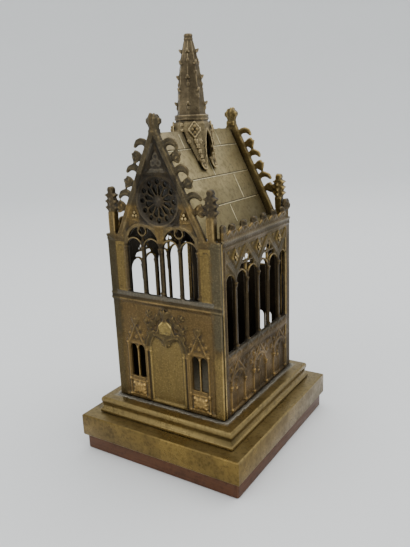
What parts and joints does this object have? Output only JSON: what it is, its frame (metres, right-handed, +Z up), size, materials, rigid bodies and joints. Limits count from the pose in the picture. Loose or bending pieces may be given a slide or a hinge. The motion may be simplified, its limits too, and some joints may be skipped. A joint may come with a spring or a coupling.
{
  "type": "reliquary",
  "caption": "Chapel-shaped cast brass reliquary with traceried walls, steep roof and spire on a stepped plinth; holds a small relic inside.",
  "frame": {"origin": "middle of the underside of the wooden board", "axes": "+Z up; the gable with the door faces -Y; +X is the right side as seen from the front"},
  "size_m": [0.11, 0.1214, 0.2402],
  "materials": {
    "board_wood": "satin",
    "plinth_brass": "satin",
    "wall_brass": "satin",
    "roof_brass": "satin",
    "spire_brass": "satin"
  },
  "bodies": {
    "root": {"base_board": "board_wood", "plinth_slab": "plinth_brass", "plinth_step": "plinth_brass", "front_wall": "wall_brass", "back_wall": "wall_brass", "left_wall": "wall_brass", "right_wall": "wall_brass", "roof": "roof_brass", "spire": "spire_brass"}
  },
  "joints": []
}
